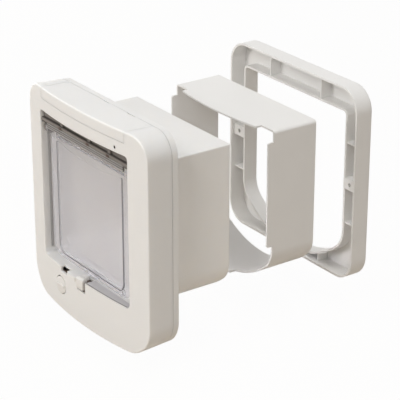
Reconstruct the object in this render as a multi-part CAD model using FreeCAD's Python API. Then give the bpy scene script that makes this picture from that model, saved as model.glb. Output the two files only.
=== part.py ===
import FreeCAD, Part
import math
import os

from FreeCAD import Vector

# Pet door with a battery powered lock, shown taken apart along its tunnel.
# X runs to the right as seen from indoors, Y from indoors to outdoors, Z up. Millimetres.
# The origin is on the tunnel's axis, in the plane where the indoor frame meets the door.

# indoor frame
frame_half = 105.0
frame_top = 120.0
frame_bottom = -106.5
frame_corner_top = 23.0
frame_corner_low = 33.0
frame_belly_radius = 1500.0
frame_depth = 34.6
face_round = 1.4
flare_side = 1.1
flare_top = 1.6
flare_bottom = 1.6
crown = 9.4
wall = 2.6
seam_y = -6.5
seam_gap = 0.3

# opening in the indoor face
mouth_half = 78.6
mouth_top = 98.0
sill_z = -59.4
mouth_corner_top = 4.0
mouth_corner_low = 5.0
mouth_wall = 2.2
mouth_end_y = -11.5

# tunnel, sleeve and outer frame share one outline
tunnel_half = 81.3
tunnel_high = 85.5
tunnel_low = -87.5
tunnel_belly_radius = 112.0
tunnel_corner_top = 1.2
tunnel_corner_low = 25.0
tunnel_wall = 2.2
tunnel_end_y = 76.6
slip = 0.3

# tunnel extension sleeve
sleeve_wall = 1.9
sleeve_front_y = 121.6
sleeve_shoulder_y = 128.4
sleeve_end_y = 180.8
sleeve_side_tab = (-36.0, 76.0)
sleeve_top_tab_half = 63.0
sleeve_low_tab_half = 22.0
sleeve_tab_bow = 5.0
sleeve_tab_round = 2.0

# outer frame
outer_half = 105.5
outer_top = 115.5
outer_bottom = -94.0
outer_corner = 25.0
outer_rim_y = 214.6
outer_depth = 20.4
outer_face_y = outer_rim_y + outer_depth
outer_wall = 2.4
collar_back = 3.9
collar_wall = 2.3
rib_wall = 1.8
top_rib_x = 42.0
low_rib_x = 45.0
side_rib_z = (55.5, -32.0)
fixing_x = (tunnel_half + outer_half) / 2
fixing_z = 12.0
fixing_r = 2.1

# flap
hinge_y = -30.0
hinge_z = 78.3
flap_half = 72.0
flap_bottom = sill_z + 3.2
flap_top = hinge_z - 6.5
flap_thick = 3.0
flap_corner = 14.0
flap_line_half = 59.5
flap_line_bottom = -52.0
flap_line_wide = 1.6
flap_line_proud = 1.0
flap_band_low = flap_top - 8.5
flap_band_side = flap_top - 0.5
flap_band_proud = 0.5
lug_r = 5.4
lug_wide = 6.0
pin_r = 1.55
pin_clear = 0.05

# catches and lock
catch_play = 0.25
catch_rest_z = sill_z + 2.2
front_catch_x = (-9.8, 1.6)
front_catch_y = -28.0
front_window_x = (front_catch_x[0] - 0.5, front_catch_x[1] + 4.0)
front_window_low = sill_z - 12.0
rear_catch_x = (-41.6, -30.4)
rear_catch_y = -24.5
rear_window_x = (rear_catch_x[0] - 1.2, rear_catch_x[1] + 1.8)
tail_z = sill_z - 23.2
plunger_r = 1.5
plunger_long = 12.0
solenoid_half = 6.5
solenoid_high = 14.0
dial_x = -43.0
dial_z = -80.5
dial_r = 9.8
dial_plate = 1.8
cam_thick = 2.2

# battery compartment
cover_half = 74.5
cover_front_z = 110.8
cell_r = 7.1
cell_long = 49.5
tray_half = 54.0
tray_side = 69.0
tray_wall = 1.5
tray_front_y = -35.6
tray_back_y = -3.7
tray_floor_z = mouth_top + mouth_wall + 0.3
cell_z = tray_floor_z + tray_wall + 0.1 + cell_r
learn_x = 62.0
learn_y = -22.0
indicator_x = 60.5
indicator_z = mouth_top + 4.6
indicator_r = 1.5

# fastenings
screw_r = 1.4
screw_head_r = 2.9
top_screw = (frame_half - 11.0, frame_top - 19.0)
low_screw = (frame_half - 12.5, frame_bottom + 24.5)
casing_screw_xz = [(side * x, z) for x, z in (top_screw, low_screw) for side in (1, -1)]

# circuit board beside the tunnel, on the right
board_x = (tunnel_half + 3.3, frame_half - 4.0)
board_z = (-58.0, 68.0)
board_y = -18.3
board_screw_xz = [(board_x[0] + 2.9, board_z[0] + 6.0), (board_x[1] - 3.0, board_z[1] - 6.0)]
board_post_xz = board_screw_xz + [(board_x[0] + 2.9, board_z[1] - 6.0), (board_x[1] - 3.0, board_z[0] + 6.0)]

# shelf inside the foot of the frame that carries the solenoids
lock_floor_z = frame_bottom + wall + 3.6
shelf_thick = 2.0


def box(x0, x1, y0, y1, z0, z1):
    return Part.makeBox(x1 - x0, y1 - y0, z1 - z0, Vector(x0, y0, z0))


def rod(x, z, y0, y1, r):
    return Part.makeCylinder(r, y1 - y0, Vector(x, y0, z), Vector(0, 1, 0))


def post(x, y, z0, z1, r):
    return Part.makeCylinder(r, z1 - z0, Vector(x, y, z0), Vector(0, 0, 1))


def arc(a, b, c):
    return Part.Arc(a, b, c).toShape()


def outline(y, half, top, bottom, r_top, r_low, belly=0.0):
    """Upright outline in a plane of constant y; belly is the radius of a bowed bottom edge."""
    def at(x, z):
        return Vector(x, y, z)

    s = math.sqrt(0.5)
    if belly:
        z0 = bottom + belly
        low_z = z0 - math.sqrt((belly - r_low) ** 2 - (half - r_low) ** 2)
        k = belly / (belly - r_low)
        tx = (half - r_low) * k
        tz = z0 + (low_z - z0) * k
    else:
        low_z = bottom + r_low
        tx = half - r_low
        tz = bottom
    turn = math.atan2(tz - low_z, tx - (half - r_low)) / 2
    mx = half - r_low + r_low * math.cos(turn)
    mz = low_z + r_low * math.sin(turn)
    cx = half - r_top
    cz = top - r_top
    edges = [Part.makeLine(at(-cx, top), at(cx, top)),
             arc(at(cx, top), at(cx + r_top * s, cz + r_top * s), at(half, cz)),
             Part.makeLine(at(half, cz), at(half, low_z)),
             arc(at(half, low_z), at(mx, mz), at(tx, tz))]
    if belly:
        edges.append(arc(at(tx, tz), at(0, bottom), at(-tx, tz)))
    else:
        edges.append(Part.makeLine(at(tx, tz), at(-tx, tz)))
    edges += [arc(at(-tx, tz), at(-mx, mz), at(-half, low_z)),
              Part.makeLine(at(-half, low_z), at(-half, cz)),
              arc(at(-half, cz), at(-cx - r_top * s, cz + r_top * s), at(-cx, top))]
    return Part.Wire(edges)


def prism(wire, depth):
    return Part.Face(wire).extrude(Vector(0, depth, 0))


def frame_outline(y, inset=0.0):
    t = max(0.0, -y / frame_depth)
    return outline(y, frame_half + flare_side * t - inset, frame_top + flare_top * t - inset,
                   frame_bottom - flare_bottom * t + inset, frame_corner_top - inset,
                   frame_corner_low - inset, frame_belly_radius - inset)


def tunnel_outline(y, grow=0.0):
    """Outline of the tunnel; its foot bows down like a keel between rounded corners."""
    return outline(y, tunnel_half + grow, tunnel_high + grow, tunnel_low - grow,
                   max(0.6, tunnel_corner_top + grow), tunnel_corner_low + grow, tunnel_belly_radius + grow)


def mouth_outline(y, grow=0.0):
    return outline(y, mouth_half + grow, mouth_top + grow, sill_z - grow,
                   mouth_corner_top + grow, mouth_corner_low + grow)


def crown_arc():
    """Radius and centre (in y) of the arc that the indoor face follows in plan."""
    half = frame_half + flare_side
    r = (half ** 2 + crown ** 2) / (2 * crown)
    return r, r - frame_depth - crown


def face_y(x, sunk=0.0):
    """Where the indoor face lies at a given x, or a surface sunk that far behind it."""
    r, centre_y = crown_arc()
    return centre_y - math.sqrt(r ** 2 - x ** 2) + sunk


def crown_body(shift=0.0):
    """Everything behind the crowned face, moved back by shift."""
    reach = frame_half + 13.0
    back = 40.0
    z0 = frame_bottom - 15.0
    side_y = face_y(reach, shift)
    front = arc(Vector(-reach, side_y, z0), Vector(0, face_y(0, shift), z0), Vector(reach, side_y, z0))
    rest = Part.makePolygon([Vector(reach, side_y, z0), Vector(reach, back, z0), Vector(-reach, back, z0),
                             Vector(-reach, side_y, z0)])
    return Part.Face(Part.Wire([front] + rest.Edges)).extrude(Vector(0, 0, frame_top + 15.0 - z0))


def frame_block(rear_y, inset=0.0, shift=0.0, edge_round=0.0):
    """The frame's outer form from its crowned face back to rear_y."""
    front_y = -frame_depth - crown - 5
    body = Part.makeLoft([frame_outline(front_y, inset), frame_outline(rear_y, inset)], True, True)
    body = body.common(crown_body(shift))
    if edge_round:
        rim = [e for e in body.Edges if max(v.Point.y for v in e.Vertexes) < -frame_depth / 2]
        body = body.makeFillet(edge_round, rim)
    return body


def cover_zone(gap=0.0):
    """Region of the frame's top front edge that the battery cover takes up."""
    return box(-cover_half - gap, cover_half + gap, -60, seam_y - seam_gap + 1, cover_front_z - gap, 140)


def front_shell():
    skirt_y = seam_y - seam_gap
    outer = frame_block(skirt_y, edge_round=face_round)
    inner = frame_block(skirt_y + 5, wall, wall + 0.2)
    return outer.cut(inner)


def front_bezel(shell):
    front = face_y(0) - 6
    inside = -frame_depth + wall
    body = shell.cut(cover_zone(0.25))
    mouth = prism(mouth_outline(front), mouth_end_y - front)
    collar = prism(mouth_outline(front, mouth_wall), mouth_end_y - front).common(crown_body(0.5))
    body = body.fuse(collar).cut(mouth)
    posts = []
    for x, z in casing_screw_xz:
        posts.append(rod(x, z, face_y(x, wall / 2), -4.9, 3.6))
    # ledge that carries the edge of the battery cover
    reach = cover_half + 4
    root = box(-reach, reach, front, inside, cover_front_z - 4, cover_front_z - 0.4).common(crown_body(wall - 0.5))
    lip = box(-reach, reach, front, inside, cover_front_z - 1.5, cover_front_z + 1.5).common(crown_body(wall + 0.5))
    ledge = root.fuse(lip).cut(crown_body(wall + 2.0))
    # low pad between the two catch windows
    pad = box(rear_window_x[1] + 2.0, front_window_x[0] - 2.0, front, face_y(0, wall),
              sill_z - 4.5, sill_z - 0.4).common(crown_body(-1.2))
    body = body.fuse(posts + [ledge, pad])
    cuts = []
    for x, z in casing_screw_xz:
        cuts.append(rod(x, z, -18, 0, screw_r + pin_clear))
    cuts.append(box(front_window_x[0], front_window_x[1], front, -33.0, front_window_low, sill_z + 1))
    cuts.append(box(rear_window_x[0], rear_window_x[1], front, face_y(rear_catch_x[0], 5.0), sill_z - 5.5, sill_z + 1))
    cuts.append(box(rear_catch_x[0] - catch_play, rear_catch_x[1] + catch_play,
                    rear_catch_y - 2.0 - catch_play, rear_catch_y + 2.0 + catch_play, sill_z - 5, sill_z + 1))
    cuts.append(rod(dial_x, dial_z, front, -30, dial_r + 0.3))
    cuts.append(rod(indicator_x, indicator_z, front, inside, indicator_r + 0.1))
    for side in (-1, 1):
        x = side * (mouth_half + mouth_wall / 2)
        cuts.append(Part.makeCylinder(pin_r + pin_clear, 4, Vector(x - 2, hinge_y, hinge_z), Vector(1, 0, 0)))
    body = body.cut(cuts)
    return body.removeSplitter()


def battery_cover(shell):
    body = shell.common(cover_zone())
    cuts = [box(-10, 0, seam_y - seam_gap - 1.2, 0, frame_top - 1.2, 140),
            box(31, 44, seam_y - seam_gap - 1.2, 0, frame_top - 1.2, 140)]
    # stiffening ribs under the lid
    rib_z = cell_z + cell_r + 0.4
    ribs = [box(x - 0.8, x + 0.8, -36, -10, rib_z, frame_top - 1) for x in (-64, -20, 20, 64)]
    return body.fuse(ribs).cut(cuts).removeSplitter()


def rear_shell():
    plate = prism(frame_outline(0), -2.5)
    rim = Part.makeLoft([frame_outline(seam_y), frame_outline(0)], True, True)
    rim = rim.cut(prism(frame_outline(0, wall), -20))
    spigot = prism(frame_outline(0, wall + 0.5), -12.5).cut(prism(frame_outline(0, wall + 2.1), -30))
    spigot = spigot.cut(box(-cover_half - 2, cover_half + 2, -30, seam_y, mouth_top, frame_top + 10))
    # the front edge of the tunnel stops behind the mouth of the bezel
    front_y = mouth_end_y
    walls = prism(tunnel_outline(front_y), tunnel_end_y - front_y)
    face = prism(mouth_outline(front_y, mouth_wall), 2.0).fuse(prism(tunnel_outline(front_y), 2.0))
    bore = prism(tunnel_outline(front_y - 1, -tunnel_wall), tunnel_end_y - front_y + 2)
    gate = prism(mouth_outline(front_y - 1), 4)
    body = plate.fuse([rim, spigot, walls])
    body = body.cut(prism(tunnel_outline(front_y + 2.0, -tunnel_wall), tunnel_end_y - front_y))
    body = body.cut(prism(tunnel_outline(front_y - 1, -tunnel_wall), 4))
    body = body.fuse(face.cut(gate.common(bore)))
    shelf_x = (rear_catch_x[0] - 4.0, front_catch_x[1] + 4.0)
    shelf_z = lock_floor_z - 0.1 - shelf_thick
    shelf = box(shelf_x[0], shelf_x[1], front_catch_y - solenoid_half - 0.5, -2.0, shelf_z, shelf_z + shelf_thick)
    struts = [box(x - 1, x + 1, seam_y + 0.2, -2.0, frame_bottom + wall - 1.0, shelf_z + 1.0)
              for x in (shelf_x[0] + 4, sum(shelf_x) / 2, shelf_x[1] - 4)]
    screw_bosses = [rod(side * fixing_x, fixing_z, -16, -2.0, 4.6) for side in (-1, 1)]
    board_posts = [rod(x, z, board_y + 0.1, -2.0, 2.2) for x, z in board_post_xz]
    seats = [rod(x, z, -4.6, -2.0, 4.6) for x, z in casing_screw_xz]
    body = body.fuse([shelf] + struts + screw_bosses + board_posts + seats)
    cuts = []
    for x, z in casing_screw_xz:
        cuts.append(rod(x, z, -6, 1, screw_r + 0.3))
        cuts.append(rod(x, z, -2.4, 1, screw_head_r + 0.3))
    for side in (-1, 1):
        cuts.append(rod(side * fixing_x, fixing_z, -14, 1, fixing_r - 0.4))
    for x, z in board_screw_xz:
        cuts.append(rod(x, z, board_y - 1, -8, 1.05))
    return body.cut(cuts).removeSplitter()


def hinge_cover():
    """Ribbed strip that hides the flap's pivots and hangs from the roof of the mouth."""
    half = flap_half - 3.5
    reach = mouth_half - 0.3
    front = hinge_y - lug_r - 1.6
    roof_z = hinge_z + 11.1
    strip = box(-half, half, front, front + 1.3, hinge_z + 1.4, roof_z)
    ears = box(-reach, reach, front, front + 1.3, hinge_z + lug_r + 0.8, roof_z)
    shelf = box(-reach, reach, front + 0.9, -18.0, roof_z - 1.4, roof_z)
    web = box(-half, half, -19.5, -18.0, roof_z - 1.4, mouth_top)
    body = strip.fuse([ears, shelf, web])
    pitch = 2.2
    count = int(2 * half / pitch) - 1
    grooves = []
    for i in range(count):
        x = -half + 1.6 + i * pitch
        grooves.append(box(x, x + 0.9, front - 0.2, front + 0.6, hinge_z + 2.4, roof_z - 0.8))
    return body.cut(grooves).removeSplitter()


def top_seal():
    """Dark foam strip with three clips that fills the slot above the ribbed cover."""
    low_z = hinge_z + 11.3
    strip = box(-mouth_half, mouth_half, hinge_y - 4.5, -20.0, low_z, mouth_top)
    strip = strip.common(prism(mouth_outline(hinge_y - 5, -0.05), 20))
    clips = [box(x - 2.2, x + 2.2, hinge_y - 6.6, hinge_y - 4.0, low_z + 0.2, low_z + 3.7) for x in (-42.0, 8.0, 44.0)]
    return strip.fuse(clips)


def flap_panel():
    y0 = hinge_y - flap_thick / 2
    plate = prism(outline(y0, flap_half, flap_top, flap_bottom, 4.0, flap_corner), flap_thick)
    line = prism(outline(y0 - flap_line_proud, flap_line_half, flap_top - 3, flap_line_bottom, 2.0, 10.0),
                 flap_line_proud + 0.5)
    hole = prism(outline(y0 - 5, flap_line_half - flap_line_wide, flap_top, flap_line_bottom + flap_line_wide,
                         2.0, 10.0 - flap_line_wide), 5)
    body = plate.fuse(line.cut(hole))
    foot = box(-56, 56, hinge_y - 2.4, hinge_y + 2.4, flap_bottom, flap_bottom + 5.4)
    # thicker band along the hinge side, with a bowed lower edge
    reach = flap_half - 1.0
    rise = flap_band_side - flap_band_low
    band_y = y0 - flap_band_proud
    low = arc(Vector(-reach, band_y, flap_band_low + rise), Vector(0, band_y, flap_band_low),
              Vector(reach, band_y, flap_band_low + rise))
    high = Part.makePolygon([Vector(reach, band_y, flap_band_low + rise), Vector(reach, band_y, flap_top),
                             Vector(-reach, band_y, flap_top), Vector(-reach, band_y, flap_band_low + rise)])
    band = prism(Part.Wire([low] + high.Edges), flap_band_proud + 0.5)
    body = body.fuse([foot, band])
    for side in (-1, 1):
        x0 = min(side * (flap_half + 3.5), side * (flap_half + 3.5 - lug_wide))
        barrel = Part.makeCylinder(lug_r, lug_wide, Vector(x0, hinge_y, hinge_z), Vector(1, 0, 0))
        neck_x0 = min(side * (flap_half - 10), side * flap_half)
        neck = box(neck_x0, neck_x0 + 10, y0, y0 + flap_thick, flap_top - 6, hinge_z - 2)
        body = body.fuse([barrel, neck])
    reach = flap_half + 10
    shaft = Part.makeCylinder(pin_r + pin_clear, 2 * reach, Vector(-reach, hinge_y, hinge_z), Vector(1, 0, 0))
    pocket = box(-8.0, 10.0, hinge_y - 1.6, hinge_y + 1.6, flap_bottom - 1, flap_bottom + 3.6)
    return body.cut([shaft, pocket]).removeSplitter()


def flap_magnet():
    return box(-7.9, 9.9, hinge_y - 1.5, hinge_y + 1.5, flap_bottom + 0.2, flap_bottom + 3.5)


def hinge_pins():
    pins = []
    for side in (-1, 1):
        inner = side * (flap_half + 3.5 - lug_wide)
        outer = side * (mouth_half + mouth_wall - 0.2)
        x0 = min(inner, outer)
        pin = Part.makeCylinder(pin_r, abs(outer - inner), Vector(x0, hinge_y, hinge_z), Vector(1, 0, 0))
        shoulder_x = min(side * (flap_half + 3.8), side * (mouth_half - 0.2))
        long = mouth_half - 0.2 - flap_half - 3.8
        washer = Part.makeCylinder(3.2, long, Vector(shoulder_x, hinge_y, hinge_z), Vector(1, 0, 0))
        pins.append(pin.fuse(washer).removeSplitter())
    return Part.makeCompound(pins)


def front_catch():
    x0, x1 = front_catch_x
    mid = (x0 + x1) / 2
    front = face_y(mid) - 0.6
    back = hinge_y - flap_thick / 2 - 2.1
    head = box(x0, x1, front, back, front_window_low + 0.9, catch_rest_z)
    tail = box(x0 + 2, x1 - 2, back - 0.4, front_catch_y + 6.0, tail_z, sill_z - 9.4)
    nose = box(x0 - 1, x1 + 1, front - 2.2, front + 1.4, catch_rest_z - 1.4, catch_rest_z + 2)
    nose.rotate(Vector(mid, front, catch_rest_z), Vector(1, 0, 0), 40)
    pin = post(mid, front_catch_y, tail_z - plunger_long, tail_z + 1, plunger_r)
    return head.cut(nose).fuse([tail, pin]).removeSplitter()


def rear_catch():
    x0, x1 = rear_catch_x
    mid = (x0 + x1) / 2
    head = box(x0, x1, rear_catch_y - 2.0, rear_catch_y + 2.0, tail_z, catch_rest_z - 0.6)
    pin = post(mid, rear_catch_y, tail_z - plunger_long, tail_z + 1, plunger_r)
    return head.fuse(pin).removeSplitter()


def catch_guide():
    x0 = rear_catch_x[0] - 6.0
    x1 = front_catch_x[1] + 8.0
    low = tail_z + 2.2
    block = box(x0, x1, -32.4, -13.7, low, sill_z - mouth_wall - 1.2)
    block = block.fuse(box(x0, x1, -32.4, -30.4, low, sill_z - mouth_wall - 0.1))
    fx0 = front_catch_x[0] + 2 - catch_play
    fx1 = front_catch_x[1] - 2 + catch_play
    front_slot = box(fx0, fx1, -33, front_catch_y + 6.0 + catch_play, low - 5, sill_z)
    rear_slot = box(rear_catch_x[0] - catch_play, rear_catch_x[1] + catch_play,
                    rear_catch_y - 2.0 - catch_play, rear_catch_y + 2.0 + catch_play, low - 5, sill_z)
    relief = box(front_window_x[0] - 0.5, front_window_x[1] + 0.5, -33, -30, low - 5, sill_z)
    return block.cut([front_slot, rear_slot, relief])


def solenoid(x, y):
    top = lock_floor_z + solenoid_high
    can = box(x - 7, x + 7, y - solenoid_half, y + solenoid_half, lock_floor_z, top)
    collar = post(x, y, top, top + 1.1, 4.0)
    return can.fuse(collar).cut(post(x, y, lock_floor_z + 2.5, top + 2, plunger_r + pin_clear)).removeSplitter()


def sill_magnet():
    x0 = front_catch_x[1] + 8.5
    top = sill_z - mouth_wall - 0.1
    return box(x0, x0 + 12.0, hinge_y - 3.0, hinge_y + 3.0, top - 3.3, top)


def dial_back_y():
    """Plane behind the dial's disc; the bush, the cam and the end of the shaft follow it."""
    return face_y(dial_x) + dial_plate + 0.1


def lock_dial():
    back = dial_back_y()
    disc = rod(dial_x, dial_z, back - dial_plate, back, dial_r)
    grip = box(dial_x - 1.4, dial_x + 1.4, back - dial_plate - 1.3, back - 0.5, dial_z - 6.5, dial_z + 6.5)
    shaft = rod(dial_x, dial_z, back - 0.5, back + 1.9 + cam_thick + 0.6, 2.5)
    return disc.fuse([grip, shaft]).removeSplitter()


def dial_bush():
    back = dial_back_y()
    plate = rod(dial_x, dial_z, back + 0.3, back + 1.7, 13.0).common(crown_body(wall + 0.25))
    return plate.cut(rod(dial_x, dial_z, back - 2, back + 3, 2.5 + pin_clear))


def lock_cam():
    front = dial_back_y() + 1.9
    hub = rod(dial_x, dial_z, front, front + cam_thick, 4.6)
    nose = box(dial_x - 1.6, dial_x + 1.6, front, front + cam_thick, dial_z, dial_z + 7.4)
    return hub.fuse(nose).cut(rod(dial_x, dial_z, front - 1, front + cam_thick + 1, 2.5)).removeSplitter()


def battery_tray():
    high = tray_floor_z + 12.5
    tray = box(-tray_half, tray_half, tray_front_y, tray_back_y, tray_floor_z, high)
    tray = tray.cut(box(-tray_half + tray_wall, tray_half - tray_wall, tray_front_y + tray_wall,
                        tray_back_y - tray_wall, tray_floor_z + tray_wall, high + 1))
    side_y = tray_front_y + 1.6
    side = box(tray_half - 0.5, tray_side, side_y, tray_back_y, tray_floor_z, high)
    side = side.cut(box(tray_half, tray_side - tray_wall, side_y + tray_wall, tray_back_y - tray_wall,
                        tray_floor_z + tray_wall, high + 1))
    return tray.fuse(side).removeSplitter()


def cell_places():
    y = (tray_front_y + tray_back_y) / 2
    spread = cell_r + 0.25
    x = cell_long / 2 + 0.6
    return [(sx * x, y + sy * spread, cell_z, sx * sy) for sx in (-1, 1) for sy in (-1, 1)]


def battery_cells():
    cells = []
    for x, y, z, way in cell_places():
        body = Part.makeCylinder(cell_r, cell_long - 1.4, Vector(x - way * (cell_long / 2), y, z), Vector(way, 0, 0))
        tip_x = x + way * (cell_long / 2 - 1.4)
        tip = Part.makeCylinder(2.7, 1.4, Vector(tip_x, y, z), Vector(way, 0, 0))
        cells.append(body.fuse(tip).removeSplitter())
    return Part.makeCompound(cells)


def contact_plates():
    plates = []
    inner = tray_half - tray_wall
    for side in (-1, 1):
        x0 = min(side * inner, side * (inner - 0.5))
        for x, y, z, way in cell_places():
            if x * side > 0:
                plates.append(box(x0, x0 + 0.5, y - 5, y + 5, z - 6, z + 4))
    return Part.makeCompound(plates)


def learn_switch():
    floor = tray_floor_z + tray_wall
    body = box(learn_x - 4.5, learn_x + 4.5, learn_y - 4.5, learn_y + 4.5, floor, floor + 5.0)
    return body.cut(post(learn_x, learn_y, floor + 1.5, floor + 20, 2.6 + pin_clear))


def learn_button():
    floor = tray_floor_z + tray_wall
    stem = post(learn_x, learn_y, floor + 2.7, floor + 9.0, 2.6)
    head = post(learn_x, learn_y, floor + 6.5, floor + 9.5, 4.2)
    return stem.fuse(head).removeSplitter()


def circuit_board():
    x0, x1 = board_x
    board = box(x0, x1, board_y - 1.7, board_y, board_z[0], board_z[1])
    mid = (x0 + x1) / 2
    chips = [box(mid - 4.8, mid + 5.2, board_y - 3.7, board_y - 1.5, board_z[1] - 38, board_z[1] - 24),
             box(mid - 5.8, mid + 2.2, board_y - 5.2, board_y - 1.5, -6, 8),
             box(mid - 2.8, mid + 6.2, board_y - 4.2, board_y - 1.5, board_z[0] + 18, board_z[0] + 28)]
    body = board.fuse(chips)
    return body.cut([rod(x, z, board_y - 6, board_y + 1, 1.25) for x, z in board_screw_xz]).removeSplitter()


def board_screws():
    face = board_y - 1.7
    screws = []
    for x, z in board_screw_xz:
        screws.append(rod(x, z, face - 0.5, -9.5, 1.0).fuse(rod(x, z, face - 1.6, face - 0.05, 2.0)).removeSplitter())
    return Part.makeCompound(screws)


def aerial_coil():
    ring = prism(tunnel_outline(-9.2, 2.4), 5.6)
    return ring.cut(prism(tunnel_outline(-12, 0.3), 12))


def casing_screws():
    screws = []
    for x, z in casing_screw_xz:
        screws.append(rod(x, z, -17.0, -0.4, screw_r).fuse(rod(x, z, -2.35, -0.4, screw_head_r)).removeSplitter())
    return Part.makeCompound(screws)


def indicator_lens():
    inner = face_y(indicator_x, wall + 0.1)
    lens = rod(indicator_x, indicator_z, inner - 12, inner + 0.5, indicator_r).common(crown_body(0.4))
    flange = rod(indicator_x, indicator_z, inner + 0.4, inner + 2.4, 2.2).common(crown_body(wall + 0.3))
    return lens.fuse(flange).removeSplitter()


def tunnel_extension():
    grow = slip + sleeve_wall
    body = prism(tunnel_outline(sleeve_front_y, grow), sleeve_end_y - sleeve_front_y)
    body = body.cut(prism(tunnel_outline(sleeve_front_y - 1, slip), sleeve_end_y - sleeve_front_y + 2))
    step = sleeve_shoulder_y - sleeve_front_y
    low, high = sleeve_side_tab
    reach = tunnel_half + 30
    notches = []
    for side in (-1, 1):
        x0 = min(side * sleeve_top_tab_half, side * reach)
        x1 = max(side * sleeve_top_tab_half, side * reach)
        notches.append(box(x0, x1, sleeve_front_y - 1, sleeve_front_y + step, high, reach))
        x0 = min(side * sleeve_low_tab_half, side * reach)
        x1 = max(side * sleeve_low_tab_half, side * reach)
        notches.append(box(x0, x1, sleeve_front_y - 1, sleeve_front_y + step, -reach, low))
    body = body.cut(notches)
    corners = [e for e in body.Edges
               if all(abs(v.Point.y - sleeve_front_y) < 1e-6 for v in e.Vertexes)
               and abs(abs(e.CenterOfMass.x) - tunnel_half - grow / 2 - slip / 2) < 1e-3
               and min(abs(e.CenterOfMass.z - low), abs(e.CenterOfMass.z - high)) < 1e-3]
    if len(corners) == 4:
        body = body.makeFillet(sleeve_tab_round, corners)
    # the roof tab's front edge bows towards the tunnel
    half = sleeve_top_tab_half
    y0 = sleeve_front_y
    z0 = tunnel_high + slip
    bow = arc(Vector(-half, y0, z0), Vector(0, y0 - sleeve_tab_bow, z0), Vector(half, y0, z0))
    back = Part.makePolygon([Vector(half, y0, z0), Vector(half, y0 + 1, z0), Vector(-half, y0 + 1, z0),
                             Vector(-half, y0, z0)])
    lip = Part.Face(Part.Wire([bow] + back.Edges)).extrude(Vector(0, 0, sleeve_wall))
    return body.fuse(lip).removeSplitter()


def outer_frame():
    def shape(y, inset=0.0):
        return outline(y, outer_half - inset, outer_top - inset, outer_bottom + inset,
                       outer_corner - inset, outer_corner - inset)

    fit = slip + sleeve_wall + 0.5
    rib_y = outer_rim_y + collar_back + 1.1
    inner = tunnel_half - 1.0
    shell = prism(shape(outer_rim_y), outer_depth)
    shell = rounded_face(shell)
    shell = shell.cut(prism(shape(outer_rim_y - 1, outer_wall), outer_depth + 1 - outer_wall))
    collar = prism(tunnel_outline(outer_rim_y + collar_back, fit + collar_wall), outer_depth - collar_back - 1.2)
    core = prism(shape(outer_rim_y, outer_wall / 2), outer_depth - 1.0)
    ribs = [box(x - rib_wall / 2, x + rib_wall / 2, rib_y, outer_face_y, tunnel_high, outer_top)
            for x in (-top_rib_x, top_rib_x)]
    ribs += [box(x - rib_wall / 2, x + rib_wall / 2, rib_y, outer_face_y, outer_bottom, tunnel_low + 15)
             for x in (-low_rib_x, low_rib_x)]
    for side in (-1, 1):
        x0 = min(side * inner, side * outer_half)
        wide = outer_half - inner
        for z in side_rib_z:
            ribs.append(box(x0, x0 + wide, rib_y, outer_face_y, z - rib_wall / 2, z + rib_wall / 2))
        ribs.append(box(x0, x0 + wide, rib_y - 1.5, outer_face_y, fixing_z - 6, fixing_z + 6))
    # solid foot where the bowed collar runs into the bottom wall
    foot_half = 26.0
    ribs.append(box(-foot_half, foot_half, outer_rim_y + collar_back, outer_face_y, outer_bottom, tunnel_low))
    body = shell.fuse([collar] + [rib.common(core) for rib in ribs])
    body = body.cut(prism(tunnel_outline(outer_rim_y - 2, fit), outer_depth + 4))
    holes = []
    for side in (-1, 1):
        holes.append(rod(side * fixing_x, fixing_z, outer_rim_y - 2, outer_face_y + 2, fixing_r))
        holes.append(rod(side * fixing_x, fixing_z, outer_face_y - 3.0, outer_face_y + 2, fixing_r + 2.2))
    return body.cut(holes).removeSplitter()


def rounded_face(solid):
    """Rounds the edges of the outdoor face."""
    edges = [e for e in solid.Edges
             if all(abs(v.Point.y - outer_face_y) < 1e-6 for v in e.Vertexes)]
    return solid.makeFillet(3.0, edges)


def main():
    shell = front_shell()
    pieces = {
        "front_bezel": front_bezel(shell),
        "battery_cover": battery_cover(shell),
        "rear_shell": rear_shell(),
        "hinge_cover": hinge_cover(),
        "top_seal": top_seal(),
        "flap_panel": flap_panel(),
        "flap_magnet": flap_magnet(),
        "hinge_pins": hinge_pins(),
        "front_catch": front_catch(),
        "rear_catch": rear_catch(),
        "catch_guide": catch_guide(),
        "front_solenoid": solenoid(sum(front_catch_x) / 2, front_catch_y),
        "rear_solenoid": solenoid(sum(rear_catch_x) / 2, rear_catch_y),
        "sill_magnet": sill_magnet(),
        "lock_dial": lock_dial(),
        "dial_bush": dial_bush(),
        "lock_cam": lock_cam(),
        "battery_tray": battery_tray(),
        "battery_cells": battery_cells(),
        "contact_plates": contact_plates(),
        "learn_switch": learn_switch(),
        "learn_button": learn_button(),
        "circuit_board": circuit_board(),
        "board_screws": board_screws(),
        "aerial_coil": aerial_coil(),
        "casing_screws": casing_screws(),
        "indicator_lens": indicator_lens(),
        "tunnel_extension": tunnel_extension(),
        "outer_frame": outer_frame(),
    }
    os.makedirs("parts", exist_ok=True)
    for name, shape in pieces.items():
        shape.exportStep("parts/" + name + ".step")
        box_of = shape.BoundBox
        print(name, "solids", len(shape.Solids), "valid", shape.isValid(), "volume", round(shape.Volume / 1000, 2),
              "x %.1f %.1f y %.1f %.1f z %.1f %.1f" % (box_of.XMin, box_of.XMax, box_of.YMin, box_of.YMax,
                                                       box_of.ZMin, box_of.ZMax))


main()
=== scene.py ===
import bmesh
import bpy
import math
from mathutils import Matrix, Vector


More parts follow.
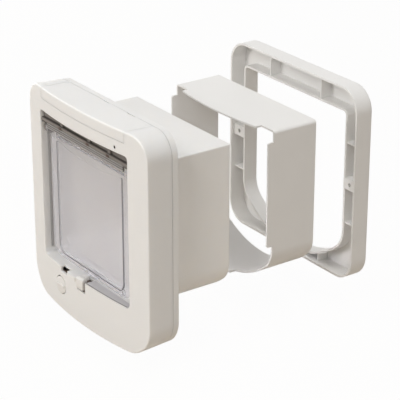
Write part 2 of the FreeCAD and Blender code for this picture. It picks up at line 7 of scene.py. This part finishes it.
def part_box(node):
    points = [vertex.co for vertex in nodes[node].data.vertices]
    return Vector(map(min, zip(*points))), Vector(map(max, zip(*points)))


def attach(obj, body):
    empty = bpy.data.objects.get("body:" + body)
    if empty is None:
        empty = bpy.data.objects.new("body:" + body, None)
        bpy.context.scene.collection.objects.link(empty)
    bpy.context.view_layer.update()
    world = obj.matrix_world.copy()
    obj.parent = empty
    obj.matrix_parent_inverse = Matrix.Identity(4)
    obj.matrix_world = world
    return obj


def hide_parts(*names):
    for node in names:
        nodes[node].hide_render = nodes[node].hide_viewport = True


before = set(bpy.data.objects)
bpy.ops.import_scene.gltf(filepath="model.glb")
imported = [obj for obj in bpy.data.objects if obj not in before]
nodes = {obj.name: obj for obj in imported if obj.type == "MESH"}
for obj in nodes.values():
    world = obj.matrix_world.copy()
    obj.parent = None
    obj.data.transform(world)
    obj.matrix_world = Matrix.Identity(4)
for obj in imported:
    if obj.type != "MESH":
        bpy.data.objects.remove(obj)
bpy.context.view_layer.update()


# The indoor frame: a crowned front half and a flat back half with the short tunnel, both injection
# moulded in warm white plastic, drawn together by four screws from the back.
def skin_group():
    """Colour, roughness and height of a lightly spark eroded moulding."""
    group = bpy.data.node_groups.new("moulded skin", "ShaderNodeTree")
    for name, kind in (("Colour", "NodeSocketColor"), ("Shade", "NodeSocketFloat"),
                       ("Roughness", "NodeSocketFloat"), ("Grain size", "NodeSocketFloat")):
        group.interface.new_socket(name, in_out="INPUT", socket_type=kind)
    for name, kind in (("Colour", "NodeSocketColor"), ("Roughness", "NodeSocketFloat"),
                       ("Height", "NodeSocketFloat")):
        group.interface.new_socket(name, in_out="OUTPUT", socket_type=kind)
    n, link = group.nodes, group.links
    start, end = n.new("NodeGroupInput"), n.new("NodeGroupOutput")
    where = n.new("ShaderNodeTexCoord")
    cloud = n.new("ShaderNodeTexNoise")
    cloud.inputs["Scale"].default_value = 24
    cloud.inputs["Detail"].default_value = 3
    grain = n.new("ShaderNodeTexNoise")
    grain.inputs["Detail"].default_value = 2
    flow = n.new("ShaderNodeMapRange")
    flow.inputs["To Min"].default_value = -1
    flow.inputs["To Max"].default_value = 1
    depth = n.new("ShaderNodeMath")
    depth.operation = "MULTIPLY"
    level = n.new("ShaderNodeMath")
    level.operation = "ADD"
    level.inputs[1].default_value = 1
    tint = n.new("ShaderNodeVectorMath")
    tint.operation = "SCALE"
    polish = n.new("ShaderNodeMath")
    polish.operation = "MULTIPLY_ADD"
    polish.inputs[1].default_value = 0.10
    link.new(where.outputs["Object"], cloud.inputs["Vector"])
    link.new(where.outputs["Object"], grain.inputs["Vector"])
    link.new(start.outputs["Grain size"], grain.inputs["Scale"])
    link.new(cloud.outputs["Fac"], flow.inputs["Value"])
    link.new(flow.outputs["Result"], depth.inputs[0])
    link.new(start.outputs["Shade"], depth.inputs[1])
    link.new(depth.outputs[0], level.inputs[0])
    link.new(start.outputs["Colour"], tint.inputs[0])
    link.new(level.outputs[0], tint.inputs["Scale"])
    link.new(grain.outputs["Fac"], polish.inputs[0])
    link.new(start.outputs["Roughness"], polish.inputs[2])
    link.new(tint.outputs["Vector"], end.inputs["Colour"])
    link.new(polish.outputs[0], end.inputs["Roughness"])
    link.new(grain.outputs["Fac"], end.inputs["Height"])
    return group


skin = skin_group()


def moulding(name, colour, roughness, grain=2600, height=0.00004, shade=0.02, edge=0.0005):
    """A moulded plastic: grain in the skin, soft edges, slight clouding of the colour."""
    mat = bpy.data.materials.new(name)
    mat.use_nodes = True
    n, link = mat.node_tree.nodes, mat.node_tree.links
    body = n["Principled BSDF"]
    made = n.new("ShaderNodeGroup")
    made.node_tree = skin
    made.inputs["Colour"].default_value = (*colour, 1)
    made.inputs["Shade"].default_value = shade
    made.inputs["Roughness"].default_value = roughness
    made.inputs["Grain size"].default_value = grain
    soft = n.new("ShaderNodeBevel")
    soft.samples = 6
    soft.inputs["Radius"].default_value = edge
    bump = n.new("ShaderNodeBump")
    bump.inputs["Strength"].default_value = 0.35
    bump.inputs["Distance"].default_value = height
    link.new(made.outputs["Colour"], body.inputs["Base Color"])
    link.new(made.outputs["Roughness"], body.inputs["Roughness"])
    link.new(made.outputs["Height"], bump.inputs["Height"])
    link.new(soft.outputs["Normal"], bump.inputs["Normal"])
    link.new(bump.outputs["Normal"], body.inputs["Normal"])
    return mat


def finish_with(node, mat):
    """Gives a plain solid its finish."""
    mesh = nodes[node].data
    mesh.materials.clear()
    mesh.materials.append(mat)


white = moulding("warm white plastic", (0.82, 0.812, 0.795), 0.42)
glow = white.node_tree.nodes["Principled BSDF"]
glow.inputs["Subsurface Weight"].default_value = 0.55
glow.inputs["Subsurface Radius"].default_value = (1.0, 0.94, 0.86)
glow.inputs["Subsurface Scale"].default_value = 0.0045
for node in ("rear_shell", "front_bezel", "battery_cover"):
    finish_with(node, white)


# Four pan head screws with a cross recess hold the halves of the indoor frame together.
# They are cold headed steel with a rolled thread, and sit in stepped holes in the flat back.
def metal(name, colour, roughness):
    """A worked metal with a faint grain and crisp edges."""
    mat = moulding(name, colour, roughness, grain=1800, height=0.00002, shade=0.05, edge=0.0002)
    mat.node_tree.nodes["Principled BSDF"].inputs["Metallic"].default_value = 1.0
    return mat


def turn(bm, profile, start, way, steps=24, closed=False):
    """Spins a profile of (along, radius) pairs about the line from start along way."""
    way = Vector(way).normalized()
    side = way.orthogonal().normalized()
    line = [bm.verts.new(Vector(start) + way * along + side * radius) for along, radius in profile]
    edges = [bm.edges.new(pair) for pair in zip(line, line[1:])]
    if closed:
        edges.append(bm.edges.new((line[-1], line[0])))
    bmesh.ops.spin(bm, geom=line + edges, cent=start, axis=way, angle=2 * math.pi, steps=steps,
                   use_merge=True)
    bmesh.ops.remove_doubles(bm, verts=bm.verts, dist=0.000001)
    bmesh.ops.dissolve_degenerate(bm, edges=bm.edges, dist=0.000001)


def add_piece(name, bm, finish, body, stands_for=()):
    """Makes the shape a piece of its own that rides on a body and may stand for plain solids."""
    bmesh.ops.recalc_face_normals(bm, faces=bm.faces)
    mesh = bpy.data.meshes.new(name)
    bm.to_mesh(mesh)
    bm.free()
    mesh.polygons.foreach_set("use_smooth", [True] * len(mesh.polygons))
    mesh.set_sharp_from_angle(angle=math.radians(35))
    mesh.materials.append(finish)
    piece = bpy.data.objects.new(name, mesh)
    bpy.context.scene.collection.objects.link(piece)
    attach(piece, body)
    if stands_for:
        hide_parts(*stands_for)
    return piece


def cross_headed(length, shaft, head, high, pitch):
    """A screw on the Z axis, its head's top at zero, with a cross cut into the head."""
    bm = bmesh.new()
    core = shaft * 0.8
    along = -length + shaft
    profile = [(-length, 0), (along, core)]
    while along < -high - 2 * pitch:
        profile += [(along + pitch * 0.4, shaft), (along + pitch * 0.6, shaft), (along + pitch, core)]
        along += pitch
    profile += [(-high, core), (-high, head), (-high * 0.45, head), (-high * 0.2, head * 0.86),
                (-high * 0.04, head * 0.5), (0, 0)]
    turn(bm, profile, (0, 0, 0), (0, 0, 1))
    bmesh.ops.recalc_face_normals(bm, faces=bm.faces)
    screw_mesh = bpy.data.meshes.new("screw")
    bm.to_mesh(screw_mesh)
    bm.free()
    bm = bmesh.new()
    slot_long, slot_wide = head * 1.15, head * 0.24
    for across in ((slot_long, slot_wide), (slot_wide, slot_long)):
        made = bmesh.ops.create_cube(bm, size=1)["verts"]
        bmesh.ops.scale(bm, vec=(*across, high * 1.3), verts=made)
    cross_mesh = bpy.data.meshes.new("cross")
    bm.to_mesh(cross_mesh)
    bm.free()
    screw, cross = (bpy.data.objects.new(mesh.name, mesh) for mesh in (screw_mesh, cross_mesh))
    for thing in (screw, cross):
        bpy.context.scene.collection.objects.link(thing)
    cut = screw.modifiers.new("recess", "BOOLEAN")
    cut.operation = "DIFFERENCE"
    cut.use_self = True
    cut.object = cross
    seen_by = bpy.context.evaluated_depsgraph_get()
    result = bpy.data.meshes.new_from_object(screw.evaluated_get(seen_by))
    for thing in (screw, cross):
        bpy.data.objects.remove(thing)
    return result


def drive_in(name, screw, heads, way, node, body):
    """Puts one screw at each head's place, turned so that its head faces along way."""
    bm = bmesh.new()
    turned = Vector((0, 0, 1)).rotation_difference(Vector(way)).to_matrix()
    for i, place in enumerate(heads):
        first = len(bm.verts)
        bm.from_mesh(screw)
        bm.verts.ensure_lookup_table()
        fresh = bm.verts[first:]
        driven = turned @ Matrix.Rotation(0.6 + i, 3, "Z")
        bmesh.ops.rotate(bm, verts=fresh, cent=(0, 0, 0), matrix=driven)
        bmesh.ops.translate(bm, verts=fresh, vec=place)
    bmesh.ops.dissolve_degenerate(bm, edges=bm.edges, dist=0.00001)
    return add_piece(name, bm, steel, body, (node,))


steel = metal("bright steel", (0.62, 0.62, 0.63), 0.25)
low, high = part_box("casing_screws")
top_x, low_x = 0.094, 0.0925
head_r, head_high, shaft_r, pitch = 0.0029, 0.00195, 0.0014, 0.0011
casing_screw = cross_headed(high.y - low.y, shaft_r, head_r, head_high, pitch)
heads = [(side * x, high.y, z) for x, z in ((top_x, high.z - head_r), (low_x, low.z + head_r))
         for side in (-1, 1)]
drive_in("casing_screws_turned", casing_screw, heads, (0, 1, 0), "casing_screws", "main_unit")


# The flap is one clear tinted moulding that hangs on two pins and swings both ways.
# A dark bead runs down both sides of its panel and round its foot, where a plated magnet sits; its dark
# tint is painted shade on the edge of the panel's raised line.
def closed_strip(bm, rows):
    """Joins rows of four corners into one strip with closed ends."""
    loops = [[bm.edges.new((row[k], row[(k + 1) % 4])) for k in range(4)] for row in rows]
    for one, two in zip(loops, loops[1:]):
        bmesh.ops.bridge_loops(bm, edges=one + two)
    for row in (rows[0], rows[-1]):
        bm.faces.new(row)


clear = bpy.data.materials.new("clear tinted plastic")
clear.use_nodes = True
n, link = clear.node_tree.nodes, clear.node_tree.links
body = n["Principled BSDF"]
body.inputs["Transmission Weight"].default_value = 0.86
body.inputs["IOR"].default_value = 1.22
made = n.new("ShaderNodeGroup")
made.node_tree = skin
made.inputs["Colour"].default_value = (0.895, 0.89, 0.91, 1)
made.inputs["Shade"].default_value = 0.02
made.inputs["Roughness"].default_value = 0.05
made.inputs["Grain size"].default_value = 30
link.new(made.outputs["Colour"], body.inputs["Base Color"])
link.new(made.outputs["Roughness"], body.inputs["Roughness"])
through = n.new("ShaderNodeBsdfTransparent")
through.inputs["Color"].default_value = (0.66, 0.65, 0.69, 1)
path = n.new("ShaderNodeLightPath")
mix = n.new("ShaderNodeMixShader")
link.new(path.outputs["Is Shadow Ray"], mix.inputs[0])
link.new(body.outputs["BSDF"], mix.inputs[1])
link.new(through.outputs["BSDF"], mix.inputs[2])
link.new(mix.outputs["Shader"], n["Material Output"].inputs["Surface"])
finish_with("flap_panel", clear)
# The bead's dark colour is painted shade along the edge of the panel's raised line.
edge_shade_dark = moulding("dark bead painted as edge shade", (0.10, 0.10, 0.11), 0.3)
panel_y, panel_half_x, panel_mid_z, panel_half_z = -0.0324, 0.0595, 0.0084, 0.0604
bead_high, bead_wide, top_round, foot_round, arc_steps = 0.0003, 0.0009, 0.002, 0.010, 8
bm = bmesh.new()
rows = []
for sx, sz, from_angle, round_by in ((-1, 1, 90, top_round), (-1, -1, 180, foot_round),
                                     (1, -1, 270, foot_round), (1, 1, 0, top_round)):
    corner_x = sx * (panel_half_x - round_by)
    corner_z = panel_mid_z + sz * (panel_half_z - round_by)
    outer, inner, proud = round_by, round_by - bead_wide, panel_y - bead_high
    for i in range(arc_steps + 1):
        angle = math.radians(from_angle + 90 * i / arc_steps)
        rows.append([bm.verts.new((corner_x + math.cos(angle) * r, y, corner_z + math.sin(angle) * r))
                     for y, r in ((panel_y, outer), (proud, outer), (proud, inner), (panel_y, inner))])
closed_strip(bm, rows)
add_piece("panel_bead", bm, edge_shade_dark, "flap")
plating = metal("bright plating", (0.80, 0.79, 0.81), 0.4)
magnet = metal("dull plating", (0.33, 0.33, 0.35), 0.3)
for node, mat in (("hinge_pins", steel), ("flap_magnet", plating), ("sill_magnet", magnet),
                  ("board_screws", steel), ("front_solenoid", steel), ("rear_solenoid", steel)):
    finish_with(node, mat)


# A dark rubber grommet stands round each pin, between the flap's lug and the wall of the mouth.
# It is pressed onto the pin's shoulder and keeps the lug from rattling.
dark_foam_and_gap_shade = moulding("dark foam and gap shade", (0.21, 0.188, 0.172), 0.85,
                grain=1500, height=0.0003, shade=0.25, edge=0.001)
low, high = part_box("hinge_pins")
pin_y, pin_z = (low.y + high.y) / 2, (low.z + high.z) / 2
lug_x, bore_r, rim_r, wide = 0.0758, 0.0034, 0.0055, 0.0026
grommet = [(0, bore_r), (0, rim_r - 0.0005), (0.0004, rim_r), (wide - 0.0004, rim_r),
           (wide, rim_r - 0.0005), (wide, bore_r)]
bm = bmesh.new()
for side in (-1, 1):
    turn(bm, grommet, (side * lug_x, pin_y, pin_z), (side, 0, 0), closed=True)
add_piece("pivot_grommets", bm, dark_foam_and_gap_shade, "main_unit")


# A strip hides the flap's pivots, with four grey ribs along it; the strip is painted dark, as painted
# shade in the grooves between the ribs and under the seal. A draught seal lies above, and its lip hangs
# over the strip under three clips. A rubber line down each wall of the mouth meets the flap.
def bar(bm, low, high, round_by):
    """A block with all its edges eased."""
    made = bmesh.ops.create_cube(bm, size=1)["verts"]
    low, high = Vector(low), Vector(high)
    bmesh.ops.scale(bm, vec=high - low, verts=made)
    bmesh.ops.translate(bm, vec=(low + high) / 2, verts=made)
    edges = list({edge for vert in made for edge in vert.link_edges})
    bmesh.ops.bevel(bm, geom=edges, offset=round_by, offset_type="OFFSET", segments=2, profile=0.5,
                    affect="EDGES", material=-1)


grey = moulding("grey plastic", (0.40, 0.385, 0.375), 0.45)
brown_and_window_shade = moulding("brown clip plastic and window shade", (0.10, 0.065, 0.05), 0.4)
dark_grey_and_shade = moulding("dark grey plastic and painted shade", (0.075, 0.066, 0.060), 0.5)
# The strip's dark colour is painted shade in the grooves between its ribs.
finish_with("hinge_cover", dark_grey_and_shade)
finish_with("top_seal", dark_foam_and_gap_shade)
low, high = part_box("hinge_cover")
strip_y, seat = low.y, 0.0001
rib_r, rib_ease, short_half, long_half = 0.0006, 0.0002, 0.0683, 0.0782
bm = bmesh.new()
for up, half in ((0.0009, short_half), (0.0030, short_half), (0.0052, short_half), (0.0070, long_half)):
    rib = [(0, 0), (0, rib_r - rib_ease), (rib_ease, rib_r), (2 * half - rib_ease, rib_r),
           (2 * half, rib_r - rib_ease), (2 * half, 0)]
    turn(bm, rib, (-half, strip_y + seat, low.z + up), (1, 0, 0), steps=12)
add_piece("strip_ribs", bm, grey, "main_unit")
lip_thick, lip_low, lip_high = 0.0012, low.z + 0.0072, low.z + 0.0098
bm = bmesh.new()
bar(bm, (-long_half, strip_y - lip_thick, lip_low), (long_half, strip_y + seat, lip_high), 0.0004)
add_piece("seal_lip", bm, dark_foam_and_gap_shade, "main_unit")
clip_half, clip_thick, nub_half, nub_thick = 0.0024, 0.0021, 0.0009, 0.0028
bm = bmesh.new()
for x in (-0.042, 0.008, 0.044):
    bar(bm, (x - clip_half, strip_y - clip_thick, low.z + 0.0068),
        (x + clip_half, strip_y + seat, low.z + 0.0094), 0.0004)
    bar(bm, (x - nub_half, strip_y - nub_thick, low.z + 0.0074),
        (x + nub_half, strip_y - lip_thick, low.z + 0.0088), 0.0003)
add_piece("seal_clips", bm, brown_and_window_shade, "main_unit")
edge_seal = moulding("side seal rubber", (0.45, 0.44, 0.44), 0.7)
wall_x, proud_x, seal_foot = 0.0785, 0.0779, -0.0536
bm = bmesh.new()
for side in (-1, 1):
    near, far = sorted((side * proud_x, side * wall_x))
    bar(bm, (near, pin_y - 0.0014, seal_foot), (far, pin_y + 0.0012, pin_z - 0.0066), 0.00015)
add_piece("side_seals", bm, edge_seal, "main_unit")


# Two catches rise out of the sill to lock the flap. The front one has a sloped nose and fills most of
# its window; dark blocks painted as shade close the rest of both windows and the pit behind the nose.
# Their guide is a grey block behind the windows.
low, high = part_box("front_catch")
mid_x = (low.x + high.x) / 2
head_foot, nose_back, head_back, pit_wide, lap = -0.0692, -0.0388, -0.0336, 0.0034, 0.0004
bm = bmesh.new()
bar(bm, (low.x, low.y, head_foot), (high.x, nose_back, high.z), 0.0004)
bar(bm, (low.x + lap, nose_back - 0.0002, head_foot), (high.x - pit_wide, head_back, high.z), 0.0004)
nose_slope, nose_drop = (0, -0.64, 0.77), 0.0020
cut = bmesh.ops.bisect_plane(bm, geom=bm.verts[:] + bm.edges[:] + bm.faces[:], clear_outer=True,
                             plane_co=(mid_x, low.y, high.z - nose_drop), plane_no=nose_slope)
rims = [edge for edge in cut["geom_cut"] if isinstance(edge, bmesh.types.BMEdge)]
bmesh.ops.holes_fill(bm, edges=rims)
foot_z, foot_in, foot_front = -0.0826, 0.002, head_back - lap
bar(bm, (low.x + foot_in, foot_front, foot_z), (high.x - foot_in, high.y, head_foot + lap), 0.0003)
rod_r, rod_long, rod_y = 0.0015, 0.0125, -0.028
rod = [(0, 0), (0, rod_r - 0.0004), (0.0004, rod_r), (rod_long, rod_r), (rod_long, 0)]
turn(bm, rod, (mid_x, rod_y, low.z), (0, 0, 1))
catch_white = moulding("catch plastic", (0.80, 0.785, 0.76), 0.4)
add_piece("front_catch_nosed", bm, catch_white, "front_lock", ("front_catch",))
finish_with("rear_catch", catch_white)
finish_with("catch_guide", grey)
# The dial's bush is dark so that the ring gap round the knob reads as painted shade; the hidden cam
# shares the finish.
for node in ("dial_bush", "lock_cam"):
    finish_with(node, dark_grey_and_shade)
# Dark blocks in the catch windows: painted shade for the gaps beside and under the catches.
play, liner_front, liner_back, liner_foot, liner_top = 0.0003, -0.0424, -0.0328, -0.0712, -0.0609
beside, window_floor, rear_floor = 0.0005, -0.0704, -0.0654
bm = bmesh.new()
bar(bm, (high.x + play, liner_front, liner_foot), (high.x + 0.0039, liner_back, liner_top), 0.0004)
bar(bm, (high.x - pit_wide + play, nose_back + beside, liner_foot),
    (high.x + 2 * play, foot_front - beside, liner_top), 0.0003)
bar(bm, (low.x - 0.0002, liner_front, window_floor - 0.0009),
    (high.x + 0.0020, -0.0400, window_floor), 0.0002)
rear_low, rear_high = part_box("rear_catch")
bar(bm, (rear_low.x - 0.0008, -0.0408, rear_floor - 0.0010),
    (rear_high.x + 0.0013, -0.0332, rear_floor), 0.0002)
add_piece("catch_window_shade_block", bm, brown_and_window_shade, "main_unit")


# The dial that sets the lock by hand is a low knob with an eased rim and a bar to turn it by.
# One moulding with its shaft, which carries the cam behind the face.
low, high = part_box("lock_dial")
dial_x, dial_z, dial_r = (low.x + high.x) / 2, (low.z + high.z) / 2, (high.x - low.x) / 2
rim_y = low.y + 0.0006
# The knob is smaller than its hole, so the dark bush shows in the ring gap round it as painted shade.
disc_r, disc_thick, stem_r, stem_long = dial_r - 0.0007, 0.0025, 0.0025, high.y - rim_y
grip_half, grip_thick, grip_proud = 0.0072, 0.0017, 0.0006
bm = bmesh.new()
knob = [(0, 0), (0, disc_r - 0.0008), (0.0003, disc_r - 0.0002), (0.0009, disc_r), (disc_thick, disc_r),
        (disc_thick, stem_r), (stem_long, stem_r), (stem_long, 0)]
turn(bm, knob, (dial_x, rim_y, dial_z), (0, 1, 0), steps=48)
bar(bm, (dial_x - grip_half, low.y - grip_proud, dial_z - grip_thick),
    (dial_x + grip_half, rim_y + 0.0003, dial_z + grip_thick), 0.0006)
add_piece("dial_knob", bm, catch_white, "dial", ("lock_dial",))


# A soft grey strip lies along the sill below the flap, to the right of the catches.
# It is glued down, and a dark bead along its front edge, just behind the lip of the frame, is painted
# shade for the gap there.
pad = moulding("grey strip rubber", (0.56, 0.545, 0.555), 0.5, shade=0.04)
sill_z, crown_y, crown_r = -0.0594, -0.0440, 0.591


def lip_y(x):
    """Where the bowed lip of the mouth stands at x."""
    return crown_y + x * x / (2 * crown_r)


def along_lip(bm, x0, x1, front, back, thick, steps=16):
    """A flat strip whose front edge follows the bowed lip; back is a y of its own or a width."""
    rows = []
    for i in range(steps + 1):
        x = x0 + (x1 - x0) * i / steps
        near = lip_y(x) + front
        far = near + back if back > 0 else back
        corners = ((near, sill_z), (near + 0.0001, sill_z + thick), (far - 0.0001, sill_z + thick),
                   (far, sill_z))
        rows.append([bm.verts.new((x, y, z)) for y, z in corners])
    closed_strip(bm, rows)


strip_x0, strip_x1, strip_back = 0.0068, 0.0732, -0.0322
strip, bead = bmesh.new(), bmesh.new()
along_lip(strip, strip_x0, strip_x1, 0.0016, strip_back, 0.0004)
# The dark bead is painted shade for the gap between the strip and the lip.
along_lip(bead, strip_x0, strip_x1, 0.0010, 0.0006, 0.0005)
add_piece("sill_strip", strip, pad, "main_unit")
add_piece("sill_gap_shade_bead", bead, dark_foam_and_gap_shade, "main_unit")


# Four dry cells lie in a grey tray under the lid: steel cans with a crimped shoulder and a nub,
# each in a shrunk film jacket. Plated contacts stand at the ends of the tray.
tray = moulding("tray plastic", (0.32, 0.31, 0.30), 0.5)
film = moulding("jacket film", (0.03, 0.035, 0.06), 0.22, grain=400)
low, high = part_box("battery_cells")
cell_r, cell_long = (high.z - low.z) / 2, 0.0495
can = [(0, 0), (0, 0.0050), (0.0003, 0.0064), (0.0009, 0.0068), (0.0474, 0.0068), (0.0479, 0.0062),
       (0.0477, 0.0054), (0.0479, 0.0030), (0.0481, 0.0027), (0.0493, 0.0026), (cell_long, 0.0023),
       (cell_long, 0)]
jacket = [(0.0006, 0.0060), (0.0006, 0.0069), (0.0009, cell_r), (0.0471, cell_r), (0.0475, 0.0069),
          (0.0477, 0.0065), (0.0473, 0.0066), (0.0009, 0.0067)]
cans, jackets = bmesh.new(), bmesh.new()
for sx in (-1, 1):
    for sy in (-1, 1):
        way = sx * sy
        mid_x = (low.x + cell_long / 2) if sx < 0 else (high.x - cell_long / 2)
        mid_y = (low.y + cell_r) if sy < 0 else (high.y - cell_r)
        start = (mid_x - way * cell_long / 2, mid_y, (low.z + high.z) / 2)
        turn(cans, can, start, (way, 0, 0), steps=32)
        turn(jackets, jacket, start, (way, 0, 0), steps=32, closed=True)
add_piece("cell_cans", cans, steel, "main_unit", ("battery_cells",))
add_piece("cell_jackets", jackets, film, "main_unit", ("battery_cells",))
brass = metal("plated contact", (0.75, 0.66, 0.42), 0.25)
red = moulding("red button plastic", (0.50, 0.03, 0.02), 0.3)
for node, mat in (("battery_tray", tray), ("contact_plates", brass),
                  ("learn_switch", tray), ("learn_button", red)):
    finish_with(node, mat)


# The circuit board stands beside the tunnel inside the frame: green lacquer, black chips on its face.
# The aerial coil is enamelled wire wound round the tunnel, and the indicator has a dark lens.
board = moulding("board lacquer", (0.02, 0.13, 0.05), 0.3)
n, link = board.node_tree.nodes, board.node_tree.links
where, split = n.new("ShaderNodeTexCoord"), n.new("ShaderNodeSeparateXYZ")
above, chips = n.new("ShaderNodeMath"), n.new("ShaderNodeMix")
above.operation = "LESS_THAN"
above.inputs[1].default_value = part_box("circuit_board")[1].y - 0.00175
chips.data_type = "RGBA"
lacquer = n["Principled BSDF"].inputs["Base Color"].links[0].from_socket
link.new(where.outputs["Object"], split.inputs[0])
link.new(split.outputs["Y"], above.inputs[0])
link.new(above.outputs[0], chips.inputs["Factor"])
link.new(lacquer, chips.inputs[6])
chips.inputs[7].default_value = (0.02, 0.02, 0.022, 1)
link.new(chips.outputs[2], n["Principled BSDF"].inputs["Base Color"])
copper = metal("enamelled copper", (0.55, 0.22, 0.10), 0.3)
n, link = copper.node_tree.nodes, copper.node_tree.links
where, turns = n.new("ShaderNodeTexCoord"), n.new("ShaderNodeTexWave")
turns.bands_direction = "Y"
turns.inputs["Scale"].default_value = 500
wound = n.new("ShaderNodeBump")
wound.inputs["Strength"].default_value = 0.6
wound.inputs["Distance"].default_value = 0.0002
link.new(where.outputs["Object"], turns.inputs["Vector"])
link.new(turns.outputs["Fac"], wound.inputs["Height"])
link.new(n["Bump"].outputs["Normal"], wound.inputs["Normal"])
link.new(wound.outputs["Normal"], n["Principled BSDF"].inputs["Normal"])
lens = moulding("indicator lens", (0.02, 0.015, 0.015), 0.15)
finish_with("circuit_board", board)
finish_with("aerial_coil", copper)
finish_with("indicator_lens", lens)


# The extension sleeve and the outdoor frame are thin walled mouldings of the same white plastic,
# without its glow. The sleeve slides on the tunnel and the frame on the sleeve; both are drawn off.
thin_white = moulding("thin walled white plastic", (0.82, 0.812, 0.795), 0.42)
for node in ("tunnel_extension", "outer_frame"):
    finish_with(node, thin_white)


# A plain pale floor and a white room behind it, lit by five soft lamps. The camera looks from the
# right and a little above, at the photograph's viewing angle.
bpy.ops.mesh.primitive_plane_add(size=30, location=(0, 0, -0.128))
floor = bpy.context.object
floor.name = "floor"
pale = bpy.data.materials.new("pale floor")
pale.use_nodes = True
n, link = pale.node_tree.nodes, pale.node_tree.links
n["Principled BSDF"].inputs["Base Color"].default_value = (0.60, 0.53, 0.45, 1)
n["Principled BSDF"].inputs["Roughness"].default_value = 0.9
bright = n.new("ShaderNodeEmission")
bright.inputs["Strength"].default_value = 1.0
mix = n.new("ShaderNodeMixShader")
path = n.new("ShaderNodeLightPath")
part = n.new("ShaderNodeMath")
part.operation = "MULTIPLY"
part.inputs[1].default_value = 0.97
link.new(path.outputs["Is Camera Ray"], part.inputs[0])
link.new(part.outputs[0], mix.inputs[0])
link.new(n["Principled BSDF"].outputs["BSDF"], mix.inputs[1])
link.new(bright.outputs["Emission"], mix.inputs[2])
link.new(mix.outputs["Shader"], n["Material Output"].inputs["Surface"])
floor.data.materials.append(pale)

world = bpy.data.worlds.new("studio")
bpy.context.scene.world = world
world.use_nodes = True
n, link = world.node_tree.nodes, world.node_tree.links
room = n["Background"]
room.inputs["Color"].default_value = (1.0, 0.95, 0.88, 1)
room.inputs["Strength"].default_value = 0.18
backdrop = n.new("ShaderNodeBackground")
backdrop.inputs["Color"].default_value = (1, 1, 1, 1)
backdrop.inputs["Strength"].default_value = 1.0
path = n.new("ShaderNodeLightPath")
seen = n.new("ShaderNodeMath")
seen.operation = "MAXIMUM"
seen_through = n.new("ShaderNodeMath")
seen_through.operation = "MAXIMUM"
either = n.new("ShaderNodeMixShader")
link.new(path.outputs["Is Camera Ray"], seen.inputs[0])
link.new(path.outputs["Is Glossy Ray"], seen.inputs[1])
link.new(path.outputs["Is Transmission Ray"], seen_through.inputs[0])
link.new(seen.outputs[0], seen_through.inputs[1])
link.new(seen_through.outputs[0], either.inputs[0])
link.new(room.outputs[0], either.inputs[1])
link.new(backdrop.outputs[0], either.inputs[2])
link.new(either.outputs[0], n["World Output"].inputs["Surface"])


def soft_lamp(name, place, aim, size, power):
    data = bpy.data.lights.new(name, "AREA")
    data.shape = "DISK"
    data.size = size
    data.energy = power
    lamp = bpy.data.objects.new(name, data)
    bpy.context.scene.collection.objects.link(lamp)
    lamp.location = place
    lamp.rotation_euler = (Vector(aim) - Vector(place)).to_track_quat("-Z", "Y").to_euler()
    return lamp


soft_lamp("key lamp", (0.75, -1.50, 1.65), (0, 0.08, 0), 0.9, 17)
soft_lamp("front left lamp", (-0.75, -2.10, 0.60), (0, 0.08, 0), 0.8, 18)
soft_lamp("top lamp", (0.25, 0.15, 1.9), (0, 0.1, 0), 1.2, 18)
soft_lamp("right lamp", (2.1, -0.25, 0.35), (0, 0.1, 0), 1.0, 3.5)
soft_lamp("low left lamp", (-1.9, 0.20, 0.10), (0, 0.1, 0), 0.8, 18)

data = bpy.data.cameras.new("camera")
data.sensor_width = 36
data.lens = 156.39
camera = bpy.data.objects.new("camera", data)
bpy.context.scene.collection.objects.link(camera)
camera.location = (1.32619, -0.83986, 0.70028)
camera.rotation_euler = (math.radians(90 - 23.536), 0, math.radians(54.699))
bpy.context.scene.camera = camera
bpy.context.scene.view_settings.view_transform = "Standard"
